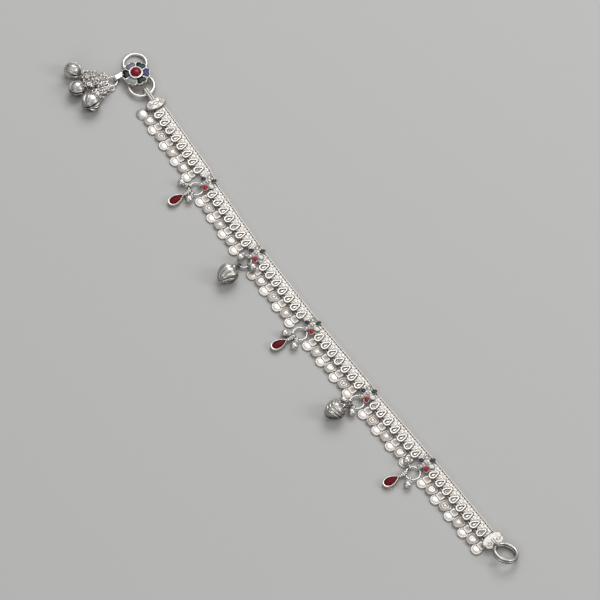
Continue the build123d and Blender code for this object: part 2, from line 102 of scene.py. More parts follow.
def drop_distance(x, y, near, near_radius, far, far_radius):
    """Signed distance to a teardrop: the hull of two discs."""
    px = x - near[0]
    py = y - near[1]
    dx = far[0] - near[0]
    dy = far[1] - near[1]
    span = dx * dx + dy * dy
    across = np.abs(px * dy - py * dx) / span
    along = (px * dx + py * dy) / span
    taper = near_radius - far_radius
    flank = math.sqrt(span - taper * taper)
    side = flank * along - taper * across
    square = across ** 2 + along ** 2
    middle = flank * across + taper * along - near_radius
    start = np.sqrt(span * square) - near_radius
    end = np.sqrt(np.maximum(span * (square + 1 - 2 * along), 0)) - far_radius
    return np.where(side < 0, start, np.where(side > flank, end, middle))


def full_turn(count):
    """Angles evenly round a circle."""
    return np.linspace(0, 2 * math.pi, count, endpoint=False)


def grid_faces(rows, columns, closed=False):
    """Quads of a grid of points given row by row; closed joins each row's end to its start."""
    faces = []
    for start in range(0, (rows - 1) * columns, columns):
        for column in range(columns if closed else columns - 1):
            here = start + column
            right = start + (column + 1) % columns
            faces.append((here, right, right + columns, here + columns))
    return faces


def relief_plate(half_width, depth, height, foot, size):
    """A plate from y = 0 to -depth whose top is a height field; foot gives its underside's height."""
    rows, columns = size
    y = -np.linspace(0, depth, rows)[:, None] * np.ones(columns)
    x = np.linspace(-1, 1, columns) * half_width(y)
    z, dark = height(x, y)
    low = foot(y)
    rim = np.r_[np.arange(columns), np.arange(1, rows) * columns + columns - 1,
                (rows - 1) * columns + np.arange(columns - 1)[::-1],
                np.arange(1, rows - 1)[::-1] * columns]
    top = np.stack((x, y, z), -1).reshape(-1, 3)
    under = np.stack((x, y, low), -1).reshape(-1, 3)[rim]
    count = rows * columns
    faces = [tuple(reversed(face)) for face in grid_faces(rows, columns)]
    ring = len(rim)
    for number in range(ring):
        following = (number + 1) % ring
        faces.append((rim[number], rim[following], count + following, count + number))
    right = [count + columns - 1 + row for row in range(rows)]
    left = [count] + [count + ring - row for row in range(1, rows)]
    for row in range(rows - 2):
        faces.append((left[row], right[row], right[row + 1], left[row + 1]))
    last = [count + number for number in range(columns - 1 + rows - 2, 2 * columns + rows - 2)]
    faces.append(tuple(last))
    # The side walls get a little painted shade.
    shade = np.r_[dark.reshape(-1), np.full(ring, 0.15)]
    return np.vstack((top, under)), faces, shade


def relief_disc(outline, profile, sides=48, low=0.0, detail=None):
    """A plate inside outline(angle), whose top follows profile rows of share, height and darkness.

    detail(x, y) gives what is added to the height and to the darkness."""
    angles = full_turn(sides)
    rims = np.stack(outline(angles), -1)
    shares, heights, darks = (np.array(column, float) for column in zip(*profile))
    points = []
    shade = []
    for share, height, dark in zip(shares, heights, darks):
        flat = rims * share
        rise, shadow = detail(*flat.T) if detail and share < 0.9 else (np.zeros(sides), np.zeros(sides))
        points.append(np.c_[flat, height + rise])
        shade += np.clip(dark + shadow, 0, 1).tolist()
    points.append(np.c_[rims * shares[-1], np.full(sides, low)])
    # The low ring round the foot gets painted shade, which darkens the side wall.
    shade += [0.3] * sides
    rows = len(profile) + 1
    faces = [tuple(range(sides))]
    faces += [tuple(reversed(face)) for face in grid_faces(rows, sides, closed=True)]
    faces.append(tuple((rows - 1) * sides + number for number in range(sides))[::-1])
    return np.vstack(points), faces, np.array(shade)


def tube(path, radius, sides=12, closed=False, flat=1.0):
    """A wire along a path of points; radius is one number or one a point, times flat one way."""
    path = np.array(path, float)
    count = len(path)
    radii = np.broadcast_to(np.array(radius, float), (count,))
    ahead = np.roll(path, -1, 0) - np.roll(path, 1, 0)
    if not closed:
        ahead[0] = path[1] - path[0]
        ahead[-1] = path[-1] - path[-2]
    ahead /= norms(ahead)[:, None]
    side = np.cross(ahead[0], (0, 0, 1) if abs(ahead[0][2]) < 0.9 else (1, 0, 0))
    angles = full_turn(sides)
    rings = []
    for point, direction, size in zip(path, ahead, radii):
        side = side - direction * side.dot(direction)
        side /= np.linalg.norm(side)
        other = np.cross(direction, side)
        round_side = np.cos(angles)[:, None] * side + flat * np.sin(angles)[:, None] * other
        rings.append(point + size * round_side)
    faces = grid_faces(count, sides, closed=True)
    if closed:
        last = (count - 1) * sides
        faces += [(last + n, last + (n + 1) % sides, (n + 1) % sides, n) for n in range(sides)]
    else:
        faces.append(tuple(range(sides))[::-1])
        faces.append(tuple((count - 1) * sides + n for n in range(sides)))
    return np.vstack(rings), faces, np.zeros(count * sides)


def wire_ring(radius, wire, count=48, sides=12):
    """A ring of wire in the XY plane; its radius is to the wire's middle."""
    turns = full_turn(count)
    path = np.c_[radius * np.cos(turns), radius * np.sin(turns), np.zeros(count)]
    return tube(path, wire, sides, closed=True)


def lathe(profile, sides=48):
    """A turned form along +X from rows of x and radius."""
    angles = full_turn(sides)
    points = [np.c_[np.full(sides, x), radius * np.cos(angles), radius * np.sin(angles)]
              for x, radius in profile]
    rows = len(profile)
    faces = [tuple(reversed(face)) for face in grid_faces(rows, sides, closed=True)]
    faces.append(tuple(range(sides)))
    faces.append(tuple((rows - 1) * sides + n for n in range(sides))[::-1])
    return np.vstack(points), faces, np.zeros(rows * sides)


def ball(radius, sides=24):
    """A sphere whose poles are on X."""
    turns = np.linspace(-90, 90, sides // 2 + 1)[1:-1]
    rows = [(radius * math.sin(math.radians(t)), radius * math.cos(math.radians(t))) for t in turns]
    ends = radius * 0.999
    return lathe([(-ends, radius * 0.04)] + rows + [(ends, radius * 0.04)], sides)


# ---- Places ----
def place(x=0.0, y=0.0, z=0.0, turn=0.0, tip=0.0, roll=0.0):
    """Roll about X, then tip about Y, then turn about Z, in degrees, then move."""
    turned = Matrix.Rotation(math.radians(turn), 4, "Z") @ Matrix.Rotation(math.radians(tip), 4, "Y")
    return Matrix.Translation((x, y, z)) @ turned @ Matrix.Rotation(math.radians(roll), 4, "X")


def cad_points(node):
    """A CAD node's points, in millimetres."""
    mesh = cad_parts[node].data
    points = np.empty(len(mesh.vertices) * 3)
    mesh.vertices.foreach_get("co", points)
    return points.reshape(-1, 3) / MM


def middle(points):
    """The middle of the box round some points."""
    return (points.min(0) + points.max(0)) / 2


def cad_middle(node):
    """The middle of a CAD node's box, in millimetres."""
    return middle(np.array(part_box(node))) / MM


def norms(points):
    """How far each point is from the origin."""
    return np.linalg.norm(points, axis=1)


def moved(points, spot):
    """Points given in a place's own frame, put where it is."""
    turned = np.array(spot)
    return points @ turned[:3, :3].T + turned[:3, 3]


def local(points, spot):
    """Points as seen from a place."""
    return moved(points, spot.inverted())


def run_place(number):
    """A band run's place, from the line of its rail, and its number of links."""
    points = cad_points(f"band_run_{number}")
    rail = points[np.abs(points[:, 2] - RAIL_TOP) < 0.02]
    slope, offset = np.polyfit(rail[:, 0], rail[:, 1], 1)
    turn = math.atan(slope)
    links = round(np.ptp(rail[:, 0]) / math.cos(turn) / LINK_PITCH)
    x = middle(rail)[0]
    y = slope * x + offset
    half_rail = 0.21
    spot = place(x - half_rail * math.sin(turn), y + half_rail * math.cos(turn), 0, math.degrees(turn))
    return spot, links


# ---- Pieces ----
class Piece:
    """One piece's mesh, gathered in millimetres."""

    def __init__(self, name, *materials):
        self.name = name
        self.materials = materials
        self.points = []
        self.faces = []
        self.shade = []
        self.slots = []
        self.count = 0

    def add(self, shape, spot=Matrix.Identity(4), material=0):
        """Put a shape at a place, raised if it would dip under the surface that it lies on."""
        points, faces, shade = shape
        placed = moved(points, spot)
        placed[:, 2] -= min(placed[:, 2].min(), 0)
        self.points.append(placed)
        self.faces += [tuple(int(corner) + self.count for corner in face) for face in faces]
        self.slots += [material] * len(faces)
        self.shade.append(shade)
        self.count += len(points)

    def build(self, slot, *nodes, angle=40):
        """Make the piece, smooth but for edges over an angle; it stands for these CAD nodes."""
        mesh = bpy.data.meshes.new(self.name)
        mesh.from_pydata((np.vstack(self.points) * MM).tolist(), [], self.faces)
        for material in self.materials:
            mesh.materials.append(material)
        mesh.polygons.foreach_set("material_index", self.slots)
        mesh.polygons.foreach_set("use_smooth", [True] * len(self.faces))
        dark = mesh.attributes.new("dark", "FLOAT", "POINT")
        dark.data.foreach_set("value", np.concatenate(self.shade).astype(np.float32))
        mesh.set_sharp_from_angle(angle=math.radians(angle))
        piece = bpy.data.objects.new(self.name, mesh)
        bpy.context.scene.collection.objects.link(piece)
        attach(piece, "root")
        if nodes:
            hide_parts(*nodes)
        return piece


def ball_ring(piece, spot, count, along, out, size, sides=14):
    """Granules in a ring round a place's X axis."""
    for step in range(count):
        piece.add(ball(size, sides), spot @ place(roll=step * 360 / count) @ place(along, 0, out))


# ---- Materials ----
def fill(owner, node, *inputs, **sockets):
    """Set a node's inputs, in order or by name, or link those that get another node's output."""
    named = [(node.inputs[name.replace("_", " ")], value) for name, value in sockets.items()]
    for socket, value in [*zip(node.inputs, inputs), *named]:
        if isinstance(value, bpy.types.NodeSocket):
            owner.node_tree.links.new(value, socket)
        else:
            socket.default_value = value


def add_node(owner, kind, *inputs, **sockets):
    """A new shader node in a material or world."""
    node = owner.node_tree.nodes.new("ShaderNode" + kind)
    fill(owner, node, *inputs, **sockets)
    return node


def add_math(material, operation, first, second, clamp=False):
    """What an operation makes of two outputs, or of an output and a number."""
    node = add_node(material, "Math", first, second)
    node.operation = operation
    node.use_clamp = clamp
    return node.outputs[0]


def add_range(material, value, start, end, high, low=0.0):
    """From low, where a value is at start, to high, where it is at end."""
    return add_node(material, "MapRange", value, start, end, low, high).outputs["Result"]


def add_tone(owner, share, low, high):
    """A Color Ramp, from low where share is 0 to high where it is 1."""
    tone = add_node(owner, "ValToRGB", Fac=share)
    tone.color_ramp.elements[0].color = (*low, 1)
    tone.color_ramp.elements[1].color = (*high, 1)
    return tone


def add_noise(material, size, detail=2.0):
    """Noise that stays with the object, its size in cells a metre."""
    where = add_node(material, "TexCoord").outputs["Object"]
    return add_node(material, "TexNoise", Vector=where, Scale=size, Detail=detail).outputs["Fac"]


def add_bump(material, height, strength, distance):
    """The normals of a bumpy surface."""
    bump = add_node(material, "Bump", Height=height, Strength=strength, Distance=distance)
    return bump.outputs["Normal"]


def add_painted_darkness(material):
    """How dark the piece itself says that each point is: patina in the silver's hollows, and painted
    shade.
    """
    painted_darkness = add_node(material, "Attribute")
    painted_darkness.attribute_name = "dark"
    return painted_darkness.outputs["Fac"]


def new_material(name, **sockets):
    """A Principled material with these sockets set."""
    material = bpy.data.materials.new(name)
    material.use_nodes = True
    shader = material.node_tree.nodes["Principled BSDF"]
    fill(material, shader, **sockets)
    return material, shader


def silver_material(name, bright, dark, roughness, tarnish, sides, grain_size=5200, grain_strength=0.25):
    """Polished silver, darker in its recesses (patina and painted shade) and, as much as sides says,
    with painted shade where it doesn't face up.
    """
    material, shader = new_material(name, Metallic=1.0)
    # Ambient occlusion darkens crevices and where parts meet: partly patina in the hollows, partly
    # painted shade.
    crevice = add_node(material, "AmbientOcclusion", Distance=0.5 * MM)
    crevice.samples = 6
    depth = add_range(material, crevice.outputs["AO"], 0.6, 0.0, 0.85)
    spots = add_range(material, add_noise(material, 900, 4), 0.5, 0.8, tarnish)
    normal = add_node(material, "TexCoord").outputs["Normal"]
    facing = add_node(material, "SeparateXYZ", normal)
    # Painted shade: darker on the sides and underside, where the surface doesn't face up, by as much as
    # sides says.
    painted_side_shade = add_range(material, facing.outputs["Z"], 0.85, 0.1, sides)
    hollow_patina_and_shade = add_math(material, "MAXIMUM", add_painted_darkness(material), depth)
    patina_and_painted_shade = add_math(material, "MAXIMUM", hollow_patina_and_shade, painted_side_shade)
    total = add_math(material, "ADD", patina_and_painted_shade, spots, clamp=True)
    tone = add_tone(material, total, bright, dark)
    # The warmer middle tone tints the patina and the painted shade alike.
    middle_tone = tone.color_ramp.elements.new(0.45)
    warmth = (1.03, 0.97, 0.91)
    mixed = [(0.55 * a + 0.45 * b) * warm for a, b, warm in zip(bright, dark, warmth)]
    middle_tone.color = (*mixed, 1)
    worn = add_range(material, total, 0.0, 1.0, roughness + 0.22, roughness)
    grain = add_bump(material, add_noise(material, grain_size, 3), grain_strength, 0.03 * MM)
    fill(material, shader, Base_Color=tone.outputs["Color"], Roughness=worn, Normal=grain)
    return material


def stone_material(name, colour, deep, roughness=0.2, cloud=0.25, coat=0.1):
    """Glass or enamel: a clear colour that deepens with the piece's painted shade, under a gloss."""
    material, shader = new_material(name, Roughness=roughness, Coat_Weight=coat, Coat_Roughness=0.05,
                                    IOR=1.5, Specular_IOR_Level=0.15)
    drift = add_math(material, "MULTIPLY", add_noise(material, 1400), cloud)
    total = add_math(material, "ADD", add_painted_darkness(material), drift, clamp=True)
    fill(material, shader, Base_Color=add_tone(material, total, colour, deep).outputs["Color"])
    return material


# sides sets how much painted shade each silver gets where it doesn't face up, most for the bells and the
# heart bells.
CAST_GRAIN = {"grain_size": 2300, "grain_strength": 0.9}
silver = silver_material("silver", (0.90, 0.88, 0.85), (0.05, 0.04, 0.032), roughness=0.36, tarnish=0.1,
                         sides=0.45)
cast_silver = silver_material("cast_silver", (0.84, 0.81, 0.77), (0.05, 0.04, 0.032), roughness=0.46,
                              tarnish=0.12, sides=0.4, **CAST_GRAIN)
# The caps' silver is cast silver painted darker: painted shade that holds down the light on their broad
# tops.
shaded_cap_silver = silver_material("shaded_cap_silver", (0.66, 0.635, 0.605), (0.04, 0.033, 0.027), roughness=0.5,
                             tarnish=0.12, sides=0.4, **CAST_GRAIN)
bell_silver = silver_material("bell_silver", (0.84, 0.82, 0.79), (0.03, 0.026, 0.022), roughness=0.32,
                              tarnish=0.2, sides=0.8)
# A darker copy of silver for the heart bells and the end ring: painted shade, with strong painted side
# shade.
grey_silver = silver_material("grey_silver", (0.78, 0.755, 0.72), (0.03, 0.027, 0.023), roughness=0.34,
                              tarnish=0.25, sides=0.85)
garnet = stone_material("garnet", (0.27, 0.004, 0.014), (0.05, 0.001, 0.003), roughness=0.42, cloud=0.3,
                        coat=0.0)
carmine = stone_material("carmine", (0.30, 0.002, 0.016), (0.07, 0.001, 0.005), roughness=0.16,
                         cloud=0.3, coat=0.4)


def stone_set(kind, colours):
    """Stones by the name of their colour, each with what stone_material takes after its name."""
    return {name: stone_material(f"{kind}_{name}", *finish) for name, finish in colours.items()}


STONES = stone_set("petal", {
    "green": ((0.012, 0.065, 0.04), (0.005, 0.02, 0.014)),
    "pale": ((0.93, 0.95, 0.93), (0.60, 0.63, 0.60)),
    "red": ((0.40, 0.004, 0.03), (0.12, 0.001, 0.01), 0.25, 0.4, 0.1),
    "blue": ((0.022, 0.025, 0.085), (0.008, 0.008, 0.025)),
})
GLASS = stone_set("glass", {
    "violet": ((0.055, 0.055, 0.21), (0.012, 0.012, 0.045)),
    "green": ((0.004, 0.02, 0.013), (0.002, 0.008, 0.005)),
    "clear": ((0.38, 0.39, 0.38), (0.12, 0.12, 0.12)),
    "lilac": ((0.24, 0.22, 0.29), (0.08, 0.07, 0.10)),
    "teal": ((0.006, 0.04, 0.034), (0.003, 0.014, 0.013)),
})


# ---- Band ----
def link_half(y):
    """Half the link's width: straight to the teardrop, then drawn in round its foot."""
    foot_y = RIM[0][1]
    foot_radius = RIM[1] + RIM_HALF + 0.05
    drawn = LINK_HALF - (LINK_HALF - foot_radius) * smooth(-y, 4.1, 0.1 - foot_y)
    rounded = np.sqrt(np.clip(foot_radius ** 2 - (y - foot_y) ** 2, 0.04, None))
    return np.where(y < foot_y, rounded, drawn)


def leaf_rise(x, y, leaves):
    """The rise of rounded leaves, each a teardrop from a near disc to a far one."""
    rise = np.zeros_like(x)
    for near, near_radius, far, far_radius in leaves:
        leaf = drop_distance(x, y, near, near_radius, far, far_radius)
        rise = np.maximum(rise, ridge(np.maximum(leaf + near_radius, 0), near_radius * 1.05))
    return rise


def edge_rows(x, y, rise):
    """The rail along the plain edge, and the row of pierced dashes beside it."""
    long, wide = DASH_HALF
    groove = np.abs(y + DASH_ROW) < wide
    across = np.abs(np.mod(x, LINK_PITCH / 3) - LINK_PITCH / 6)
    rise = np.where(groove, 0.0, rise)
    rise = np.where(groove & (across < long), -0.3, rise)
    rail = ridge(y + RAIL_ROW, RAIL_HALF)
    return np.where(rail > 0, (RAIL_TOP - PLATE_TOP) * rail, rise)


def plate_dark(z, low, high):
    """How dark a plate is: grey from low up to high over its top, and darker in its dashes."""
    ground = 1 - smooth(z, PLATE_TOP + low, PLATE_TOP + high)
    dashes = 1 - smooth(z, PLATE_TOP - 0.4, PLATE_TOP - 0.3)
    return np.maximum(0.42 * ground, 0.5 * dashes)


def link_height(solid_core):
    """The link's relief: rail, dashes, a row of leaves, the teardrop's rim and its core."""
    leaves = [((0.0, -1.1), 0.26, (0.0, -1.35), 0.2)]
    for side in (-1, 1):
        leaves += [((side * 1.06, -1.3), 0.5, (side * 1.1, -1.55), 0.46),
                   ((side * LINK_HALF, -1.15), 0.24, (side * LINK_HALF, -1.35), 0.2),
                   ((side * 1.55, -2.45), 0.4, (side * 1.66, -2.8), 0.32),
                   ((side * 1.85, -3.55), 0.26, (side * 1.88, -3.9), 0.2)]

    def height(x, y):
        rise = edge_rows(x, y, 0.2 * leaf_rise(x, y, leaves) - 0.02)
        outer = drop_distance(x, y, *RIM)
        if solid_core:
            core = 0.5 * np.minimum(1.3 * leaf_rise(x, y, [CORE]), 1)
        else:
            core = 0.4 * ridge(drop_distance(x, y, *CORE), CORE_HALF)
        rise = np.where(outer < 0, core - 0.22, rise)
        rim = np.minimum(1.2 * ridge(outer, RIM_HALF), 1)
        rise = np.where(outer > 0, rise - 0.16 * ridge(outer - RIM_HALF, 0.22) * (y < -1.0), rise)
        rise = np.maximum(rise, np.where(rim > 0, 0.66 * rim - 0.16, -1))
        z = PLATE_TOP + rise
        # Painted shade: dark lines along both feet of the teardrop's rim.
        outside = 0.5 * ridge(outer - RIM_HALF - 0.02, 0.2)
        inside = 0.35 * ridge(outer + RIM_HALF + 0.02, 0.18)
        return z, np.maximum(plate_dark(z, -0.25, 0.14), np.maximum(outside, inside) * (y < -1.0))

    return height


def link_foot(y):
    """The link's underside, raised past its teardrop's foot to clear the fringe."""
    deep, high = UNDERCUT
    return np.where(y < -deep, high, 0.0)


def band(number):
    """A run of links, its rail, and the two wires that join the links."""
    spot, links = run_place(number)
    depth = -RIM[0][1] + RIM[1] + RIM_HALF + 0.02
    shapes = [relief_plate(link_half, depth, link_height(solid), link_foot, LINK_GRID)
              for solid in (True, False)]
    piece = Piece(f"band_{number}", cast_silver)
    for link in range(links):
        x = (link - (links - 1) / 2) * LINK_PITCH
        piece.add(shapes[(link * 2 + number) % 5 == 0], spot @ place(x))
    reach = (links - 1) / 2 * LINK_PITCH
    edge = reach + LINK_HALF - 0.1
    rail = [(end, -RAIL_ROW, RAIL_TOP - RAIL_HALF) for end in (-edge, edge)]
    piece.add(tube(rail, RAIL_HALF, 14), spot)
    for row in HINGE_ROWS:
        piece.add(tube([(-reach, -row, 0.45), (reach, -row, 0.45)], 0.3, 10), spot)
    return piece.build("silver", f"band_run_{number}")


# ---- Fringe ----
def squared(value, power):
    """A sine or cosine that stays nearer to 1 for a lower power, so that its circle has corners."""
    return np.sign(value) * np.abs(value) ** power


def shield_outline(turns):
    """A shield drop's outline: squared at its top and round at its foot."""
    sine = np.sin(turns)
    x = 2.4 * squared(np.cos(turns), 0.75) * (1 - 0.08 * np.clip(-sine, 0, 1))
    y = np.where(sine > 0, 2.1 * np.abs(sine) ** 0.6, -2.6 * np.abs(sine) ** 1.08)
    return x, y


def oval(wide, tall, power=1.0, power_up=1.0):
    """An oval's outline, from its radii along X and Y, with corners where a power is under 1."""
    return lambda turns: (wide * squared(np.cos(turns), power), tall * squared(np.sin(turns), power_up))


# Profile rows from a drop's middle to its rim: share of its outline, height and darkness. The darkness
# is patina in the grooves and painted shade at the rim's outer edge.
SHIELD_RIM = ((0.7, 0.38, 0.55), (0.74, 0.5, 0.25), (0.78, 0.66, 0.05), (0.84, 0.74, 0), (0.9, 0.7, 0),
              (0.96, 0.54, 0.12), (1.0, 0.28, 0.45))
# Three shield drops: a stud in a ring, a ring alone, and a broad dome.
SHIELDS = (
    ((0.02, 0.66, 0), (0.1, 0.65, 0), (0.2, 0.6, 0.05), (0.27, 0.48, 0.3), (0.33, 0.4, 0.5),
     (0.39, 0.46, 0.3), (0.45, 0.6, 0.05), (0.51, 0.6, 0.05), (0.57, 0.46, 0.35), (0.63, 0.38, 0.55),
     *SHIELD_RIM),
    ((0.02, 0.5, 0.2), (0.15, 0.5, 0.2), (0.25, 0.5, 0.25), (0.32, 0.56, 0.1), (0.4, 0.64, 0),
     (0.48, 0.6, 0.05), (0.55, 0.46, 0.35), (0.63, 0.38, 0.55), *SHIELD_RIM),
    ((0.02, 0.7, 0), (0.12, 0.69, 0), (0.24, 0.64, 0.02), (0.36, 0.54, 0.15), (0.46, 0.44, 0.4),
     (0.54, 0.4, 0.5), (0.62, 0.38, 0.55), *SHIELD_RIM))
COIN_PROFILE = ((0.02, 0.66, 0), (0.15, 0.66, 0), (0.3, 0.64, 0), (0.45, 0.6, 0.03), (0.56, 0.54, 0.12),
                (0.63, 0.5, 0.3), (0.68, 0.5, 0.35), (0.73, 0.6, 0.08), (0.8, 0.69, 0), (0.88, 0.68, 0),
                (0.95, 0.56, 0.12), (1.0, 0.3, 0.45))
DOME_PROFILE = ((0.02, 1.15, 0), (0.3, 1.1, 0), (0.55, 0.95, 0), (0.75, 0.74, 0), (0.9, 0.5, 0.05),
                (1.0, 0.25, 0.3))


def strap_link(wide, deep, high):
    """The small square link over a coin's head, rounded, with a dent in its top."""
    # Darkness here: patina in the dent, and painted shade on the sloping edge.
    profile = ((0.02, high - 0.12, 0.5), (0.5, high - 0.1, 0.42), (0.66, high - 0.02, 0.15),
               (0.82, high, 0.08), (0.94, high - 0.1, 0.2), (1.0, high - 0.35, 0.45))
    return relief_disc(oval(wide / 2, deep / 2, 0.4, 0.4), profile, 32)


def fringe(number):
    """A run of drops on its thread: shields where the CAD's drops stand high, coins elsewhere."""
    spot, links = run_place(number)
    node = f"leaf_fringe_{number}"
    points = local(cad_points(node), spot)
    hanging = points[points[:, 1] < -8]
    centre = (links - 1) / 2
    half_drop = 2.05
    first = round((hanging[:, 0].min() + half_drop) / LINK_PITCH + centre)
    last = round((hanging[:, 0].max() - half_drop) / LINK_PITCH + centre)
    shields = [relief_disc(shield_outline, profile, 56) for profile in SHIELDS]
    coin_outline = oval(COIN_RADIUS * 1.04, COIN_RADIUS * 0.98)
    coin = relief_disc(coin_outline, COIN_PROFILE, 48)
    dome = relief_disc(coin_outline, DOME_PROFILE, 48)
    strap = strap_link(3.4, 2.7, 0.66)
    piece = Piece(f"fringe_{number}", cast_silver)
    for drop in range(first, last + 1):
        x = (drop - centre) * LINK_PITCH
        near = hanging[np.abs(hanging[:, 0] - x) < 1.2]
        lean = (-1.5, 1.2, 0.4, -0.8, 1.6, -0.3)[(drop + number) % 6]
        if near[:, 2].max() > 1:
            piece.add(shields[(drop + number) % 3], spot @ place(x, -SHIELD_ROW, 0.36, lean, roll=-7))
        elif number == 1 and drop == first:
            swell = Matrix.Diagonal((1.12, 1.12, 1, 1))
            piece.add(dome, spot @ place(x, -9.15, 0.04) @ swell)
        else:
            piece.add(coin, spot @ place(x, -COIN_ROW, 0.04, lean))
            piece.add(strap, spot @ place(x, -STRAP_ROW, 0.34, lean * 0.5, roll=3))
        hanger = [(x, -THREAD_ROW, THREAD_HIGH), (x, -6.5, THREAD_HIGH)]
        piece.add(tube(hanger, THREAD_RADIUS, 10), spot)
    thread = [((drop - centre) * LINK_PITCH, -THREAD_ROW, THREAD_HIGH) for drop in (first, last)]
    piece.add(tube(thread, THREAD_RADIUS, 10), spot)
    return piece.build("silver", node)


# ---- Stations ----
def leaf_outline(length, width, sharp):
    """A leaf along X, round (sharp 0) to pointed at both ends (sharp 1)."""
    return oval(length / 2, width / 2, power_up=1 + sharp)


def drop_outline(length, width, sharp):
    """A drop along X, round at its +X end and pointed at the other."""
    return lambda turns: (length / 2 * np.cos(turns),
                          width / 2 * np.sin(turns) * ((1 + np.cos(turns)) / 2 + 0.02) ** sharp)


# Each petal: its turn, how far out its middle is, its length, width and outline, and its stone.
PETALS = (
    (80, 2.55, 3.6, 2.35, drop_outline, 0.3, "green"),
    (20, 2.5, 3.2, 2.4, leaf_outline, 0.55, "pale"),
    (-40, 2.45, 3.9, 2.5, leaf_outline, 0.3, "red"),
    (-100, 2.6, 3.0, 2.6, drop_outline, 0.35, None),
    (-160, 2.35, 3.1, 2.25, leaf_outline, 0.6, "blue"),
    (140, 2.5, 3.2, 2.5, drop_outline, 0.3, None),
)
# Darkness in these rows: patina in the cells' floors and grooves, painted shade down their outer walls
# and round the stones' edges.
CELL_PROFILE = ((0.02, 0.3, 0.8), (0.6, 0.3, 0.8), (0.75, 0.34, 0.7), (0.8, 0.6, 0.15),
                (0.86, 0.68, 0), (0.94, 0.62, 0), (1.0, 0.42, 0.1), (0.97, 0.05, 0.6))
BUD_PROFILE = ((0.02, 0.72, 0), (0.2, 0.7, 0), (0.38, 0.6, 0.1), (0.5, 0.42, 0.55), (0.62, 0.42, 0.6),
               (0.74, 0.62, 0.1), (0.84, 0.68, 0), (0.93, 0.6, 0), (1.0, 0.42, 0.1), (0.97, 0.05, 0.6))
STONE_PROFILE = ((0.02, 0.56, 0), (0.25, 0.55, 0), (0.45, 0.52, 0), (0.66, 0.46, 0.1), (0.78, 0.36, 0.4))
PETAL_LOW = 1.45
CENTRE_LOW = PETAL_LOW + 0.55
FLOWER_SHARE = 0.93
FLOWER_SHIFT = (0.3, -0.15)
EYE_HIGH = 1.0


def bridge_height(x, y):
    """The relief of a bridging link, under its flower: rail, dashes and rows of leaves."""
    leaves = []
    for row in range(4):
        for step in range(-4, 5):
            leaf_x = step + row % 2 * 0.5
            leaf_y = -1.25 - row * 0.82
            leaves.append(((leaf_x, leaf_y), 0.46, (leaf_x, leaf_y - 0.2), 0.4))
    z = PLATE_TOP + edge_rows(x, y, 0.26 * leaf_rise(x, y, leaves) - 0.06)
    return z, plate_dark(z, -0.2, 0.1)


def bridge_place(number):
    """A bridging link's place, between the runs before and after it, and its length."""
    gap = 0.16
    clearance = 0.1
    left, left_links = run_place(number)
    right, right_links = run_place(number + 1)
    start = left @ Vector(((left_links * LINK_PITCH - gap) / 2, 0, 0))
    end = right @ Vector((-(right_links * LINK_PITCH - gap) / 2, 0, 0))
    across = end - start
    x, y, z = (start + end) / 2
    spot = place(x, y, 0, math.degrees(math.atan2(across.y, across.x)))
    return spot, across.length - 2 * clearance


def station(number):
    """The flower link: its bridge, petals and centre, the eye of the ring, and the ring."""
    node = f"flower_{number}"
    points = cad_points(node)
    x, y = points[points[:, 2] > points[:, 2].max() - 0.1][:, :2].mean(0)
    at_bridge, bridge_length = bridge_place(number)
    bridge = relief_plate(lambda along: np.full_like(along, bridge_length / 2), 4.4, bridge_height,
                          np.zeros_like, (52, 66))
    piece = Piece(f"station_{number}", cast_silver)
    stones = Piece(f"petals_{number}", *STONES.values())
    piece.add(bridge, at_bridge)
    upright = at_bridge.copy()
    upright.translation = (x, y, 0)
    shrink = Matrix.Diagonal((FLOWER_SHARE, FLOWER_SHARE, 1, 1))
    flower = upright @ place(*FLOWER_SHIFT) @ shrink
    for petal_turn, reach, length, width, outline, sharp, colour in PETALS:
        at = flower @ place(turn=petal_turn) @ place(reach, 0, PETAL_LOW)
        shape = outline(length, width, sharp)
        piece.add(relief_disc(shape, CELL_PROFILE if colour else BUD_PROFILE, 40), at)
        if colour:
            stones.add(relief_disc(shape, STONE_PROFILE, 40, 0.25), at, list(STONES).index(colour))
    piece.add(lathe(((0.0, 1.9), (0.7, 1.9), (0.8, 1.7)), 40), flower @ place(z=1.1, tip=-90))
    piece.add(ball(0.6), flower @ place(z=CENTRE_LOW))
    for step in range(8):
        piece.add(ball(0.24, 14), flower @ place(turn=step * 45 + 20) @ place(0.84, 0, CENTRE_LOW))
    ring = cad_middle(f"station_ring_{number}")
    eye = np.array((ring[0], ring[1] + STATION_RING, EYE_HIGH))
    piece.add(tube([(x, y, EYE_HIGH), eye + (0, 0.7, 0)], 0.28, 12))
    piece.add(wire_ring(0.72, 0.23, 32, 12), place(*eye, 90, roll=90))
    hoop = Piece(f"ring_{number}", silver)
    hoop.add(wire_ring(STATION_RING, 0.32, 64, 14), place(*ring))
    hoop.build("silver", f"station_ring_{number}")
    stones.build("petal_stone", f"station_stones_{number}", angle=60)
    return piece.build("silver", node)


# ---- Drops: each lies along +X from the middle of its loop ----
def drop_place(node, ring_node):
    """A drop's place on the surface, along the line from its loop to its far end."""
    points = cad_points(node)
    flat = points[:, :2]
    away = norms(flat - cad_middle(ring_node)[:2])
    loop = flat[np.abs(away - STATION_RING) < 0.96]
    centre = flat.mean(0)
    axes = np.linalg.svd(flat - centre, full_matrices=False)[2]
    axis = axes[0] * np.sign((centre - loop.mean(0)) @ axes[0])
    aside = np.array((-axis[1], axis[0]))
    along = (flat - centre) @ axis
    beside = (flat - centre) @ aside
    spot = centre + (along.min() + LOOP_REACH) * axis + (beside.max() + beside.min()) / 2 * aside
    return place(spot[0], spot[1], 0, math.degrees(math.atan2(axis[1], axis[0])))


def drop_loops(piece, spot):
    """A drop's loop of two turns of wire, with granules at its foot."""
    for lean in (-13, 13):
        piece.add(wire_ring(0.8, 0.27, 32, 12), spot @ place(0, 0, LOOP_HIGH, lean, roll=90))
    ball_ring(piece, spot @ place(z=LOOP_HIGH), 6, LOOP_REACH, 0.6, 0.42, 16)


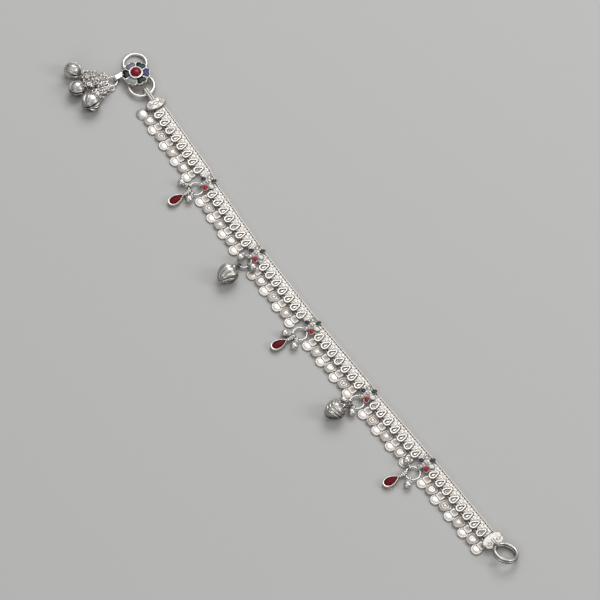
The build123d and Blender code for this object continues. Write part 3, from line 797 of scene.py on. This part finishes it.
def bead(number, ring_node):
    """A smooth bead in a cup of leaves, with its loop."""
    node = f"bead_drop_{number}"
    spot = drop_place(node, ring_node)
    points = local(cad_points(node), spot)
    top = points[points[:, 2] > points[:, 2].max() - 0.02]
    centre = np.array((top[:, 0].mean(), top[:, 1].mean(), points[:, 2].max() - BEAD_RADIUS))
    axis = centre - (0, 0, LOOP_HIGH)
    length = np.linalg.norm(axis)
    tip = -math.degrees(math.asin(axis[2] / length))
    turn = math.degrees(math.atan2(axis[1], axis[0]))
    line = spot @ place(0, 0, LOOP_HIGH, turn, tip)
    piece = Piece(f"bead_{number}", silver)
    piece.add(ball(BEAD_RADIUS, 40), line @ place(length))
    piece.add(lathe(((0.6, 0.34), (length - 1.9, 0.42), (length - 1.55, 0.6), (length - 1.2, 1.0),
                     (length - 0.95, 1.22), (length - 0.9, 1.0)), 24), line)
    ball_ring(piece, line, 6, length - 1.15, 1.1, 0.26)
    piece.add(ball(0.5, 20), line @ place(length - 1.95))
    drop_loops(piece, spot)
    return piece.build("silver", node)


def pear(number, ring_node):
    """The bezel, its collared neck and forked bail, and the faceted stone."""
    node = f"pear_setting_{number}"
    spot = drop_place(node, ring_node)
    foot = local(cad_points(node), spot)[:, 0].max()
    neck = 2.65
    shape = drop_outline(foot - neck, 5.2, 0.42)
    at = spot @ place((foot + neck) / 2)
    piece = Piece(f"pear_bezel_{number}", cast_silver)
    # Darkness in the rim: patina in the bezel's floor, painted shade down its outer wall.
    rim = ((0.02, 0.6, 0.9), (0.76, 0.6, 0.9), (0.78, 1.6, 0.5), (0.8, 1.93, 0), (0.84, 2.0, 0),
           (0.91, 2.0, 0), (0.95, 1.85, 0), (0.965, 1.2, 0.45), (0.97, 0.6, 0.7), (1.0, 0.4, 0.3),
           (1.0, 0.1, 0.5))
    piece.add(relief_disc(shape, rim, 72), at)
    granules = 44
    for x, y in zip(*shape(full_turn(granules) + math.pi / granules)):
        piece.add(ball(0.16, 10), at @ place(x * 0.985, y * 0.985, 0.5))
    collars = [(0.55, 0.4)]
    for x in (0.85, 1.51, 2.17):
        collars += [(x, 0.5), (x + 0.08, 0.86), (x + 0.3, 0.92), (x + 0.5, 0.86), (x + 0.58, 0.5)]
    piece.add(lathe(collars + [(3.1, 0.45)], 32), spot @ place(z=LOOP_HIGH))
    drop_loops(piece, spot)
    for side in (-1, 1):
        fork = [(0.9, side * 0.2, 1.25), (0.35, side * 0.42, 1.75), (-0.2, side * 0.5, 1.7),
                (-0.55, side * 0.42, 1.25)]
        piece.add(tube(fork, 0.2, 10), spot)
    piece.build("silver", node)

    stone = Piece(f"garnet_{number}", garnet)
    stone.add(faceted(shape, ((0.78, 1.45), (0.6, 1.95), (0.24, 2.2)), 0.7), at)
    return stone.build("garnet", f"pear_stone_{number}", angle=5)


def faceted(outline, rows, low):
    """A cut stone: triangles between rings given by share and height, under a flat table; each facet has
    its own painted shade.
    """
    sides = 14
    rings = []
    for number, (share, z) in enumerate(rows):
        turns = 2 * math.pi * (np.arange(sides) + number / 2) / sides
        rings.append(np.c_[np.stack(outline(turns), -1) * share, np.full(sides, z)])
    corners = []
    for outer, inner in zip(rings, rings[1:]):
        for a, b, c, d in zip(outer, np.roll(outer, -1, 0), inner, np.roll(inner, -1, 0)):
            corners += [(a, b, c), (b, d, c)]
    corners.append(tuple(rings[-1]))
    girdle = rings[0]
    floor = girdle * (1, 1, 0) + (0, 0, low)
    corners += zip(floor, np.roll(floor, -1, 0), np.roll(girdle, -1, 0), girdle)
    corners.append(tuple(floor[::-1]))
    points = np.array([corner for facet in corners for corner in facet])
    faces = []
    shade = []
    for number, facet in enumerate(corners):
        faces.append(tuple(range(len(shade), len(shade) + len(facet))))
        # Painted light and shade: each facet is lighter or darker in turn.
        shade += [math.sin(number * 2.4) * 0.3 + 0.4] * len(facet)
    return points, faces, np.array(shade)


# ---- Bells ----
def on_axis(origin, direction, normal):
    """A place whose X is direction, and whose Z is as near as can be to normal."""
    x = Vector(direction).normalized()
    y = Vector(normal).cross(x).normalized()
    z = x.cross(y)
    turned = Matrix((x, y, z)).transposed().to_4x4()
    return Matrix.Translation(origin) @ turned


def arc(x, y, radius, start, sweep, count=10):
    """Points round x, y, from an angle and through a sweep in degrees."""
    turns = np.radians(start + np.linspace(0, sweep, count))
    return np.c_[x + radius * np.cos(turns), y + radius * np.sin(turns)]


def surface_line(radius_at, xs, turns, lift):
    """Points on a turned form along +X, from their x, turn about the axis and height above it."""
    radii = np.array([radius_at(x) for x in xs]) + lift
    return np.c_[xs, radii * np.cos(turns), radii * np.sin(turns)]


def bell_place(node):
    """A round bell's place: X towards its loop, Z across its slit; and its radius."""
    points = cad_points(node)
    low, high = points.min(0), points.max(0)
    radius = (high[2] - low[2]) / 2
    corners = [np.array((x, y, radius)) for x in (low[0] + radius, high[0] - radius)
               for y in (low[1] + radius, high[1] - radius)]
    centre = max(corners, key=lambda corner: np.sum(np.abs(norms(points - corner) - radius) < 0.01))
    away = norms(points - centre)
    axis = points[away > radius + 0.5].mean(0) - centre
    axis /= np.linalg.norm(axis)
    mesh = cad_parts[node].data
    normals = np.array([polygon.normal[:] for polygon in mesh.polygons])
    middles = np.array([polygon.center[:] for polygon in mesh.polygons]) / MM - centre
    areas = np.array([polygon.area for polygon in mesh.polygons])
    outward = np.abs((normals * middles).sum(1))
    wall = outward < 0.4 * norms(middles)
    wall &= middles @ axis < -0.3 * radius
    wall &= np.abs(normals @ axis) < 0.2
    spread = (normals[wall] * areas[wall][:, None]).T @ normals[wall]
    slit = np.linalg.eigh(spread)[1][:, -1]
    return on_axis(centre, axis, slit), radius


def ghungroo(number):
    """What is laid on a round bell: paired ribs from pole to pole, and the lips of its slit.

    The second bell has fewer ribs and a belt."""
    node = f"bell_{number}"
    spot, radius = bell_place(node)

    def radius_at(x):
        return math.sqrt(max(radius * radius - x * x, 0))

    piece = Piece(f"bell_ribs_{number}", bell_silver)
    belted = number == 2
    pairs = 4 if belted else 8
    xs = radius * np.cos(np.radians(np.linspace(22, 158, 30)))
    for step in range(pairs):
        for half in (-8, 8):
            turn = math.radians((step + 0.5) * 360 / pairs + half)
            piece.add(tube(surface_line(radius_at, xs, turn, -0.05), 0.24, 8), spot)
    if belted:
        piece.add(wire_ring(radius_at(1.1), 0.15, 64, 8), spot @ place(1.1, tip=90))
    gap = 0.5
    lip_radius = (radius + 0.02) * math.sqrt(1 - (gap / radius) ** 2)
    for side in (-1, 1):
        lip = arc(0, 0, lip_radius, 102, 156, 40)
        piece.add(tube(np.c_[lip, np.full(40, side * gap)], 0.2, 10), spot)
    piece.add(lathe(((radius - 0.25, 1.15), (radius, 1.0), (radius + 0.15, 0.7),
                     (radius + 0.3, 0.45)), 28), spot)
    ball_ring(piece, spot, 8, radius - 0.18, 1.12, 0.22, 12)
    return piece.build("silver")


def flute(piece, spot, radius_at, xs, turns, size):
    """A broad rounded rib, sunk in a heart bell and thinner where the bell is."""
    shares = np.array([radius_at(x) for x in xs]) / HEART_RADIUS
    sizes = 0.08 + size * shares
    line = surface_line(radius_at, xs, turns, 0.14 * shares + 0.06 - sizes)
    line[:, 2] = np.maximum(line[:, 2], sizes - HEART_RADIUS)
    piece.add(tube(line, sizes, 16), spot)


def heart_profile(points, axis_high, shoulder, tip):
    """A heart bell's radius at any x, from its CAD points."""
    spread = np.hypot(points[:, 1], points[:, 2] - axis_high)
    edges = np.arange(shoulder, tip + 0.2, 0.2)
    band_of = np.digitize(points[:, 0], edges)
    known = [(edges[n - 1] + 0.1, spread[band_of == n].max()) for n in range(2, len(edges))
             if (band_of == n).any()]
    known_xs, known_radii = zip(*known)
    return lambda x: float(np.interp(x, known_xs, known_radii))


def heart(number, ring_node):
    """Flutes or veins, seams and a collar of granules, laid on a strawberry-shaped bell."""
    node = f"heart_bell_{number}"
    spot = drop_place(node, ring_node)
    points = local(cad_points(node), spot)
    axis_high = points[:, 2].max() / 2
    tip = points[:, 0].max()
    shoulder = tip - HEART_LENGTH
    radius_at = heart_profile(points, axis_high, shoulder, tip)
    centre = spot @ place(z=axis_high)
    piece = Piece(f"heart_veins_{number}", grey_silver)
    if number == 1:
        xs = np.linspace(shoulder + 0.5, tip - 0.2, 40)
        twist = np.linspace(12, 82, 40)
        for rib in range(9):
            flute(piece, centre, radius_at, xs, np.radians(40 * rib + twist), 1.2)
    else:
        sweep = np.linspace(0, 1, 24)
        for vein in range(4):
            xs = shoulder + 2.3 + 1.3 * vein - 2.6 * sweep ** 1.3
            keep = (xs > shoulder + 0.5) & (xs < tip - 0.4)
            for side in (-1, 1):
                turns = np.radians(90 + side * (7 + 88 * sweep))
                flute(piece, centre, radius_at, xs[keep], turns[keep], 0.44)
    xs = np.linspace(shoulder + 2.6, tip - 0.05, 28)
    wide = [min(0.6, 0.8 * radius_at(x)) for x in xs]
    for turn, lift in ((90, -0.08), (-90, -0.3)):
        seam = surface_line(radius_at, xs, math.radians(turn), lift)
        piece.add(tube(seam, wide, 16, flat=0.4), centre)
    ball_ring(piece, centre, 10, shoulder + 0.3, radius_at(shoulder + 0.45) * 0.8, 0.4)
    piece.add(lathe(((shoulder - 0.5, 0.7), (shoulder - 0.3, 1.0), (shoulder, 1.15),
                     (shoulder + 0.2, 1.0)), 28), centre)
    return piece.build("grey_silver", angle=60)


def tuft(piece, at, count, reach, size):
    """Granules packed round a point."""
    for grain in range(count):
        rise = 1 - 2 * (grain + 0.5) / count
        side = reach * math.sqrt(1 - rise * rise)
        turn = math.radians(137.5 * grain)
        grain_at = place(side * math.cos(turn), side * math.sin(turn), reach * rise)
        piece.add(ball(size, 14), at @ grain_at)


def strand_link(piece, at, length, roll):
    """One round link along X, with a tuft at its end and granule-set loops on both sides of it."""
    piece.add(wire_ring(1.0, 0.27, 28, 10), at @ Matrix.Diagonal((length / 1.2, 0.9, 1, 1)))
    tuft(piece, at @ place(length / 2), 5, 0.75, 0.44)
    for side in (-1, 1):
        aside = at @ place(0.3 * side, side * 1.05, 0.2, turn=side * 40, roll=roll)
        piece.add(wire_ring(0.84, 0.29, 24, 10), aside)
        beyond = at @ place(-0.4 * side, side * 1.95, 0.1, turn=-side * 30, roll=roll + 60)
        piece.add(wire_ring(0.9, 0.3, 24, 10), beyond)
        piece.add(ball(0.5, 16), beyond @ place(0.9))
        piece.add(ball(0.44, 16), beyond @ place(-0.6, 0.7 * side, 0.2))


def strand(number):
    """A chain of links from the clasp's ring to a bell's loop, with a large tuft at its bend."""
    node = f"bell_strand_{number}"
    points = cad_points(node)
    ring = cad_middle("clasp_ring")
    drum_top = 2.3
    bend = middle(points[np.abs(points[:, 2] - drum_top) < 0.002])
    bend[2] = 1.5
    out = bend - ring
    out[2] = 0
    start = ring + out / np.linalg.norm(out) * CLASP_RING
    bell, radius = bell_place(f"bell_{number}")
    end = np.array(bell @ Vector((radius + 1.35, 0, 0)))
    piece = Piece(f"strand_{number}", silver)
    turned = 0
    for first, second in ((start, bend), (bend, end)):
        span = second - first
        length = np.linalg.norm(span)
        links = max(2, round(length / 1.5))
        for link in range(links):
            turned += 1
            up = (0, 0.6, 1) if turned % 2 else (0, 1, -0.5)
            at = on_axis(first + span * (link + 0.5) / links, span, up)
            strand_link(piece, at, length / links, 55 + 50 * (turned % 3))
    tuft(piece, place(*bend), 14, 1.05, 0.46)
    piece.add(wire_ring(0.8, 0.24, 28, 10), on_axis(end, end - bend, (0, 0.3, 1)))
    return piece.build("silver", node)


# ---- Clasp ----
CLASP_LEAN = 3.1
CELL_MIDDLE = 3.7
CABOCHON_TOP = 4.1
CABOCHON_RADIUS = 2.32
# Each petal of the clasp's flower: its turn and its glass.
CLASP_PETALS = ((60, "violet"), (0, "green"), (-58, "clear"), (-118, "green"), (180, "lilac"),
                (121, "teal"))


def cell_outline(inset):
    """A clasp petal's two lobes, seen from a point between them."""
    def outline(turns):
        reach = np.linspace(0, 3.4, 260)[:, None]
        x = CELL_MIDDLE + reach * np.cos(turns)
        y = reach * np.sin(turns)
        lobes = [drop_distance(x, side * y, (4.0, 0.9), 1.5 - inset, (2.6, 0.5), 0.75 - inset / 2)
                 for side in (-1, 1)]
        edge = np.where(np.minimum(*lobes) < 0, reach, 0).max(0)
        return edge * np.cos(turns), edge * np.sin(turns)

    return outline


def clasp():
    """Wavy rims and glass on the hook's flower, the bezel's rim, and the stone in it."""
    points = cad_points("clasp_cabochon")
    x, y = middle(points)[:2]
    flower = place(x, y, points[:, 2].max() - CABOCHON_TOP, tip=-CLASP_LEAN)
    piece = Piece("clasp_rims", silver)
    glass = Piece("clasp_glass", *GLASS.values())
    # Painted shade: the glass darkens towards each cell's edge.
    inner = ((0.02, 0.34, 0), (0.3, 0.32, 0), (0.55, 0.27, 0.05), (0.8, 0.17, 0.3), (1.0, 0.05, 0.8))
    dome = relief_disc(cell_outline(0.2), inner, 64, -0.05)
    turns = full_turn(96)
    for turn, colour in CLASP_PETALS:
        at = flower @ place(turn=turn) @ place(CELL_MIDDLE)
        glass.add(dome, at @ place(z=2.06), list(GLASS).index(colour))
        wave = 1 + 0.03 * np.cos(turns * 13)
        line = np.stack(cell_outline(0.12)(turns), -1) * wave[:, None]
        piece.add(tube(np.c_[line, 2.18 + 0.05 * np.cos(turns * 13 + 1)], 0.15, 8, closed=True), at)
    piece.add(wire_ring(2.52, 0.24, 64, 12), flower @ place(z=2.95))
    # Painted shade: the stone darkens towards its rim.
    crown = [(share, 2.6 + 1.5 * math.sqrt(1 - share * share), 0.8 * share ** 3)
             for share in np.linspace(0.02, 0.998, 24)]
    stone = Piece("cabochon", carmine)
    stone.add(relief_disc(oval(CABOCHON_RADIUS, CABOCHON_RADIUS), crown, 64, 2.5), flower)
    stone.build("carmine_cabochon", "clasp_cabochon", angle=60)
    glass.build("clasp_glass", "clasp_petal_glass", angle=60)
    return piece.build("silver")


# ---- End caps ----
def cap_place(node, turn):
    """A cap's place, from the rim of its dome."""
    points = cad_points(node)
    rim = points[np.abs(points[:, 2] - CAP_HIGH) < 0.01]
    x, y = middle(rim)[:2]
    return place(x, y, 0, turn)


def cap_dome(wide, tall, detail):
    """A low oval dome with a rolled edge."""
    shares = np.linspace(0.02, 0.8, 40)
    profile = [(share, CAP_HIGH - 0.12 * share ** 2 - 0.1, 0.0) for share in shares]
    profile += [(0.86, CAP_HIGH - 0.14, 0), (0.91, CAP_HIGH - 0.24, 0), (0.95, CAP_HIGH - 0.42, 0),
                (0.98, CAP_HIGH - 0.7, 0.05), (1.0, CAP_HIGH - 1.05, 0.15)]
    return relief_disc(oval(wide / 2, tall / 2, 0.9), profile, 144, 0.9, detail)


def engraved(lines, half, depth):
    """Grooves along lines of points, and how much darker they are."""
    def detail(x, y):
        rise = np.zeros_like(x)
        for line in lines:
            for start, end in zip(line, line[1:]):
                rise = np.maximum(rise, ridge(drop_distance(x, y, start, 0, end, 0), half))
        return -depth * rise, 0.45 * rise

    return detail


def foot_block(low, high):
    """The foot under a cap, down to the surface, from its corners."""
    corners = ((low[0], low[1]), (high[0], low[1]), (high[0], high[1]), (low[0], high[1]))
    points = np.array([(*corner, z) for z in (0, 1.1) for corner in corners])
    faces = [(3, 2, 1, 0), (4, 5, 6, 7), (0, 1, 5, 4), (1, 2, 6, 5), (2, 3, 7, 6), (3, 0, 4, 7)]
    # The foot gets a little painted shade all over.
    return points, faces, np.full(8, 0.3)


def hook_cap():
    """The oval cap with an engraved leaf and sprays, and the bail of two straps."""
    node = "hook_cap"
    spot = cap_place(node, -4)
    leaf = np.array(((0, 1.25), (0.5, 0.7), (0.62, 0), (0.5, -0.7), (0, -1.25)))
    spray = (((0, 1.6), (0, 3.2)), ((0.1, 1.8), (0.8, 2.0), (1.25, 2.6)),
             ((0.1, 2.4), (0.55, 2.7), (0.8, 3.1)))
    marks = [leaf, leaf * (-1, 1)]
    marks += [np.array(line) * (sx, sy) for line in spray for sx in (-1, 1) for sy in (-1, 1)]
    marks += [arc(side * 0.75, 0, 0.9, 90 - side * 65 - 25, 50) for side in (-1, 1)]
    piece = Piece("hook_cap_dome", shaded_cap_silver)
    piece.add(cap_dome(4.9, 8.3, engraved(marks, 0.17, 0.1)), spot)
    points = cad_points(node)
    base = points[points[:, 2] < 0.01]
    piece.add(foot_block(base.min(0), base.max(0)))
    low, high = points.min(0), points.max(0)
    bail_half = 1.8
    strap_half = 0.46
    near = (low[0] + bail_half, high[2] - bail_half, 1.42)
    far = (near[0] + 4.7, near[1] - 0.51, 0.92)
    path = strap_path(near, far)
    for side in (-1, 1):
        beside = np.full(len(path), spot.translation.y + side * strap_half)
        strap = np.c_[path[:, 0], beside, path[:, 1]]
        piece.add(tube(strap, 0.5, 16, closed=True, flat=0.76))
    return piece.build("silver", node)


def strap_path(near, far):
    """A belt's line round two discs of x, z and radius."""
    turns = np.radians(np.linspace(90, 270, 24))
    lean = math.asin((near[2] - far[2]) / (far[0] - near[0])) * np.sin(turns)
    first = np.c_[near[0] + near[2] * np.cos(turns + lean), near[1] + near[2] * np.sin(turns)]
    second = np.c_[far[0] - far[2] * np.cos(turns), far[1] - far[2] * np.sin(turns)]
    steps = np.linspace(0, 1, 8)[1:-1, None]
    under = first[-1] * (1 - steps) + second[0] * steps
    over = second[-1] * (1 - steps) + first[0] * steps
    return np.vstack((first, under, second, over))


def ring_cap():
    """The ring cap's relief: two grooves across its waist, and a leaf above and below."""
    spot = cap_place("ring_cap", 4)
    half_leaf = np.array(((0, 1.0), (0.42, 0.5), (0.55, 0), (0.42, -0.5), (0, -1.0)))
    lines = [((-1.9, y), (0, y * 0.7), (1.9, y)) for y in (-0.55, 0.55)]
    lines += [half_leaf * (side, 1) + (-0.35, y) for side in (-1, 1) for y in (-2.1, 2.1)]
    piece = Piece("ring_cap_relief", shaded_cap_silver)
    shares = np.linspace(0.02, 0.94, 40)
    profile = [(share, CAP_HIGH + 0.22 - 0.2 * share ** 2, 0) for share in shares]
    profile.append((1.0, CAP_HIGH - 0.03, 0.2))
    relief = relief_disc(oval(1.95, 3.9), profile, 96, CAP_HIGH - 0.2, engraved(lines, 0.18, 0.12))
    piece.add(relief, spot)
    return piece.build("silver")


for number in range(1, STATIONS + 2):
    band(number)
    fringe(number)
for number in range(1, STATIONS + 1):
    station(number)
for number in range(1, 2 * STATIONS + 1):
    bead(number, f"station_ring_{(number + 1) // 2}")
for number, at_station in enumerate(PEAR_STATIONS, 1):
    pear(number, f"station_ring_{at_station}")
for number, at_station in enumerate(HEART_STATIONS, 1):
    heart(number, f"station_ring_{at_station}")
for number in range(1, BELLS + 1):
    ghungroo(number)
    strand(number)
clasp()
hook_cap()
ring_cap()

finishes = {"end_ring": grey_silver, "ring_cap": shaded_cap_silver}
finishes.update({f"heart_bell_{number + 1}": grey_silver for number in range(len(HEART_STATIONS))})
finishes.update({f"bell_{number + 1}": bell_silver for number in range(BELLS)})
for name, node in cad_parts.items():
    if not node.hide_render:
        node.data.materials.clear()
        node.data.materials.append(finishes.get(name, silver))


# ---- Floor, light and camera ----
def pale_floor():
    """A plain matt floor, just under the anklet."""
    bpy.ops.mesh.primitive_plane_add(size=6, location=(0, 0, -0.00005))
    floor = bpy.context.object
    floor.name = "floor"
    material, shader = new_material("floor", Base_Color=(0.58, 0.575, 0.56, 1), Roughness=0.85)
    grain = add_node(material, "TexNoise", Scale=350).outputs["Fac"]
    fill(material, shader, Normal=add_bump(material, grain, 0.1, 0.4 * MM))
    floor.data.materials.append(material)


def soft_light(name, spot, size, power):
    """An area light at a point in metres, aimed at the anklet's middle."""
    light = bpy.data.lights.new(name, "AREA")
    light.shape = "ELLIPSE"
    light.size, light.size_y = size
    light.energy = power
    lamp = bpy.data.objects.new(name, light)
    lamp.location = spot
    lamp.rotation_euler = (-Vector(spot)).to_track_quat("-Z", "Y").to_euler()
    bpy.context.scene.collection.objects.link(lamp)


def sky(low, high):
    """Studio light all round: dim at the horizon, brighter overhead."""
    world = bpy.data.worlds.new("studio")
    bpy.context.scene.world = world
    world.use_nodes = True
    upwards = add_node(world, "SeparateXYZ", add_node(world, "TexCoord").outputs["Generated"])
    dim, bright = ((level * 0.97, level * 0.98, level) for level in (low, high))
    tone = add_tone(world, upwards.outputs["Z"], dim, bright)
    tone.color_ramp.elements[0].position = 0.1
    tone.color_ramp.elements[1].position = 0.9
    fill(world, world.node_tree.nodes["Background"], Color=tone.outputs["Color"])


# The camera looks down at 60 degrees, from in front of the band and from its end ring's side.
CAMERA_TARGET = Vector((-0.12, 6.58, 0)) * MM
CAMERA_RIGHT = Vector((0.5555, 0.8315, 0))
CAMERA_TILT = math.radians(60)
CAMERA_DISTANCE = 1.7183
CAMERA_LENS = 270


def camera():
    """The scene's camera, from the values above."""
    lens = bpy.data.cameras.new("camera")
    lens.lens = CAMERA_LENS
    lens.sensor_width = 36
    lens.clip_end = 20
    eye = bpy.data.objects.new("camera", lens)
    forward = Vector((-CAMERA_RIGHT.y, CAMERA_RIGHT.x, 0))
    look = forward * math.cos(CAMERA_TILT) - Vector((0, 0, math.sin(CAMERA_TILT)))
    eye.location = CAMERA_TARGET - look * CAMERA_DISTANCE
    up = CAMERA_RIGHT.cross(look)
    axes = Matrix((CAMERA_RIGHT, up, -look)).transposed()
    eye.rotation_euler = axes.to_euler()
    bpy.context.scene.collection.objects.link(eye)
    bpy.context.scene.camera = eye


pale_floor()
sky(0.05, 0.52)
soft_light("key", (-0.55, 0.62, 1.0), (1.1, 0.85), 7.5)
soft_light("side", (0.75, 0.75, 0.7), (0.4, 0.6), 3)
soft_light("front", (0.45, -0.75, 0.5), (0.5, 0.25), 1)
camera()
bpy.context.scene.view_settings.view_transform = "Standard"
